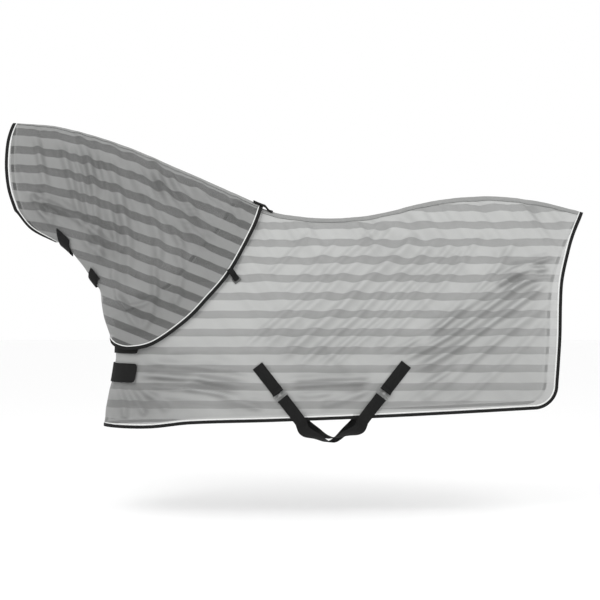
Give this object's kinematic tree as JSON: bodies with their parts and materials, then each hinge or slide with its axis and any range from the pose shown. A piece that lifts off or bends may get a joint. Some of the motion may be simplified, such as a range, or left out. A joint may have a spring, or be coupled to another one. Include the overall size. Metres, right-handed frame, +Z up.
{
  "type": "fly sheet",
  "caption": "Striped mesh fly sheet for a horse with a combo neck cover, hook-and-loop closures and crossed belly straps.",
  "frame": {"origin": "underside of the sheet at the withers, where the horse's back or a rack carries it", "axes": "+X towards the tail, +Y towards the horse's right (off) side, +Z up; the head is towards -X"},
  "size_m": [2.4697, 0.4424, 1.3721],
  "materials": {
    "striped_mesh": "sheer striped mesh",
    "facing_cloth": "close-woven lining and loop pile",
    "seam_tape": "flat woven tape",
    "edge_binding": "matt woven binding",
    "white_piping": "smooth corded piping",
    "black_webbing": "ribbed webbing",
    "closure_tape": "hook-and-loop tape",
    "fitting_metal": "polished nickel plate"
  },
  "bodies": {
    "body_sheet": {"left_body_panel": "striped_mesh", "left_body_piping": "white_piping", "left_body_binding": "edge_binding", "left_chest_facing": "facing_cloth", "left_side_loop_patch": "facing_cloth", "left_tail_patch": "facing_cloth", "right_body_panel": "striped_mesh", "right_body_piping": "white_piping", "right_body_binding": "edge_binding", "right_chest_facing": "facing_cloth", "right_side_loop_patch": "facing_cloth", "right_tail_patch": "facing_cloth", "spine_tape": "seam_tape", "upper_chest_tab": "closure_tape", "lower_chest_loop_patch": "facing_cloth", "front_near_anchor": "black_webbing", "front_far_anchor": "black_webbing", "rear_near_anchor": "black_webbing", "rear_far_anchor": "black_webbing", "front_near_ring": "fitting_metal", "rear_near_ring": "fitting_metal"},
    "neck_cover": {"left_neck_panel": "striped_mesh", "left_poll_piping": "white_piping", "left_poll_binding": "edge_binding", "left_shoulder_piping": "white_piping", "left_shoulder_binding": "edge_binding", "right_neck_panel": "striped_mesh", "right_poll_piping": "white_piping", "right_poll_binding": "edge_binding", "right_shoulder_piping": "white_piping", "right_shoulder_binding": "edge_binding", "crest_tape": "seam_tape", "upper_throat_loop_patch": "facing_cloth", "lower_throat_loop_patch": "facing_cloth"},
    "lower_chest_tab": {"lower_chest_tab": "closure_tape"},
    "upper_throat_tab": {"upper_throat_tab": "closure_tape"},
    "lower_throat_tab": {"lower_throat_tab": "closure_tape"},
    "withers_strap": {"withers_strap": "closure_tape"},
    "left_side_tab": {"left_side_tab": "closure_tape"},
    "right_side_tab": {"right_side_tab": "closure_tape"},
    "front_strap": {"front_belly_strap": "black_webbing", "front_strap_hook": "fitting_metal", "rear_far_ring": "fitting_metal"},
    "rear_strap": {"rear_belly_strap": "black_webbing", "rear_strap_hook": "fitting_metal", "front_far_ring": "fitting_metal"},
    "front_slider": {"front_strap_slider": "fitting_metal"},
    "rear_slider": {"rear_strap_slider": "fitting_metal"}
  },
  "joints": [
    {"name": "neck_cover_lift", "type": "hinge", "parent": "body_sheet", "child": "neck_cover", "pos_m": [-0.014, 0, 0.019], "axis": [0, 1, 0], "range_deg": [0, 6]},
    {"name": "lower_chest_tab_open", "type": "hinge", "parent": "body_sheet", "child": "lower_chest_tab", "pos_m": [-0.6052, 0.1095, -0.698], "axis": [0, 0, -1], "range_deg": [0, 95]},
    {"name": "upper_throat_tab_open", "type": "hinge", "parent": "neck_cover", "child": "upper_throat_tab", "pos_m": [-0.8441, 0.0515, -0.1561], "axis": [0.7186, 0.0231, -0.6951], "range_deg": [0, 75]},
    {"name": "lower_throat_tab_open", "type": "hinge", "parent": "neck_cover", "child": "lower_throat_tab", "pos_m": [-0.7223, 0.055, -0.3094], "axis": [0.6019, -0.0533, -0.7968], "range_deg": [0, 75]},
    {"name": "withers_strap_open", "type": "hinge", "parent": "body_sheet", "child": "withers_strap", "pos_m": [0.0456, 0, -0.0125], "axis": [0, 1, 0], "range_deg": [0, 34]},
    {"name": "left_side_tab_open", "type": "hinge", "parent": "neck_cover", "child": "left_side_tab", "pos_m": [-0.134, -0.191, -0.2597], "axis": [-0.7412, -0.2201, -0.6342], "range_deg": [0, 70]},
    {"name": "right_side_tab_open", "type": "hinge", "parent": "neck_cover", "child": "right_side_tab", "pos_m": [-0.134, 0.191, -0.2597], "axis": [0.7412, -0.2201, 0.6342], "range_deg": [0, 70]},
    {"name": "front_strap_swing", "type": "hinge", "parent": "body_sheet", "child": "front_strap", "pos_m": [0.0798, -0.2087, -0.7881], "axis": [0.7247, 0.6883, 0.0325], "range_deg": [-3.5, 3.5]},
    {"name": "rear_strap_swing", "type": "hinge", "parent": "body_sheet", "child": "rear_strap", "pos_m": [0.5121, -0.211, -0.7809], "axis": [-0.7251, 0.6886, 0.0089], "range_deg": [-3.5, 3.5]},
    {"name": "front_slider_shift", "type": "slide", "parent": "front_strap", "child": "front_slider", "axis": [-0.6164, -0.0195, -0.7872], "range_m": [-0.02, 0.005]},
    {"name": "rear_slider_shift", "type": "slide", "parent": "rear_strap", "child": "rear_slider", "axis": [0.6159, -0.014, -0.7877], "range_m": [-0.02, 0.005]}
  ]
}
